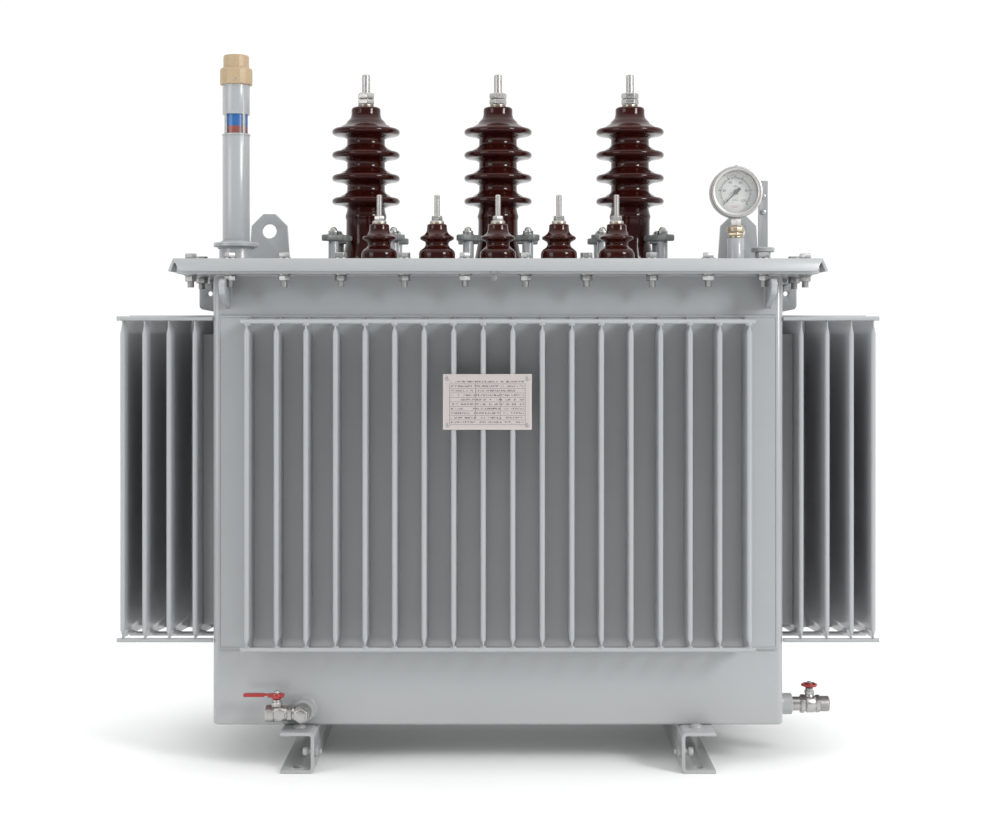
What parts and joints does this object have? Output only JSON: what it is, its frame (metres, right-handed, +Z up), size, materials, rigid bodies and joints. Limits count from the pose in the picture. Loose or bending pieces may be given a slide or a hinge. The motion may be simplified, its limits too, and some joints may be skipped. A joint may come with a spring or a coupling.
{
  "type": "sealed oil-filled distribution transformer",
  "caption": "Sealed oil-filled distribution transformer: corrugated tank with side cooling wings, bolted lid, porcelain bushings, filler pipe, thermometer and valves.",
  "frame": {"origin": "middle of the four foot-bolt holes, on the ground under the feet", "axes": "+X along the tank to the right seen from the low-voltage side, +Y to the rear, +Z up"},
  "size_m": [1.32, 0.552, 1.243],
  "materials": {
    "paint": "glossy light blue-grey paint",
    "porcelain": "glossy dark red-brown glaze",
    "tinned_metal": "tinned, satin",
    "cast_grey": "grey painted casting",
    "post_paint": "light grey paint, with zinc cap nuts",
    "nickel": "nickel plated, satin",
    "red_handle": "red coating",
    "tan_plastic": "tan, semi-gloss",
    "float_plastic": "blue above, red-brown below",
    "gasket_rubber": "matte black",
    "gauge_steel": "stainless, satin",
    "union_brass": "brass union with a steel neck",
    "dial_white": "white dial with plain ticks",
    "pointer_black": "black lacquer",
    "window_glass": "clear",
    "plate_metal": "satin, ruled with plain lines"
  },
  "bodies": {
    "transformer": {"drain_tee": "paint", "drain_valve_body": "nickel", "earth_bolts": "paint", "end_lugs": "paint", "filler_cap": "tan_plastic", "filler_neck": "paint", "filler_pipe": "paint", "fin_panel_rods": "paint", "front_fin_panel": "paint", "gate_valve_body": "nickel", "gate_valve_boss": "paint", "gauge_case": "gauge_steel", "gauge_dial": "dial_white", "gauge_fitting": "union_brass", "gauge_glass": "window_glass", "gauge_stub": "paint", "hv_bushing_1": "porcelain", "hv_bushing_2": "porcelain", "hv_bushing_3": "porcelain", "hv_clamp_claws": "cast_grey", "hv_clamp_posts": "post_paint", "hv_terminals": "tinned_metal", "left_foot_channel": "paint", "left_wing_duct": "paint", "left_wing_fins": "paint", "left_wing_rods": "paint", "level_float": "float_plastic", "lid": "paint", "lid_gasket": "gasket_rubber", "lid_lifting_lugs": "paint", "lv_bushings": "porcelain", "lv_terminals": "tinned_metal", "nameplate": "plate_metal", "pocket": "paint", "pocket_bar": "paint", "rear_fin_panel": "paint", "right_foot_channel": "paint", "right_wing_duct": "paint", "right_wing_fins": "paint", "right_wing_rods": "paint", "tank_body": "paint", "tank_lugs": "paint", "tank_rim_flange": "paint", "wing_closing_strips": "paint"},
    "drain_lever": {"drain_lever": "red_handle"},
    "handwheel": {"gate_handwheel": "red_handle"},
    "pointer": {"gauge_pointer": "pointer_black"}
  },
  "joints": [
    {"name": "drain_lever_turn", "type": "hinge", "parent": "transformer", "child": "drain_lever", "pos_m": [-0.378, -0.243, 0.1285], "axis": [0, 0, 1], "range_deg": [0, 90]},
    {"name": "handwheel_turn", "type": "hinge", "parent": "transformer", "child": "handwheel", "pos_m": [0.5475, -0.16, 0.1295], "axis": [0, 0, 1], "range_deg": [0, 1440]},
    {"name": "pointer_swing", "type": "hinge", "parent": "transformer", "child": "pointer", "pos_m": [0.427, -0.1017, 1.00062], "axis": [0, 1, 0], "range_deg": [0, 270]}
  ]
}
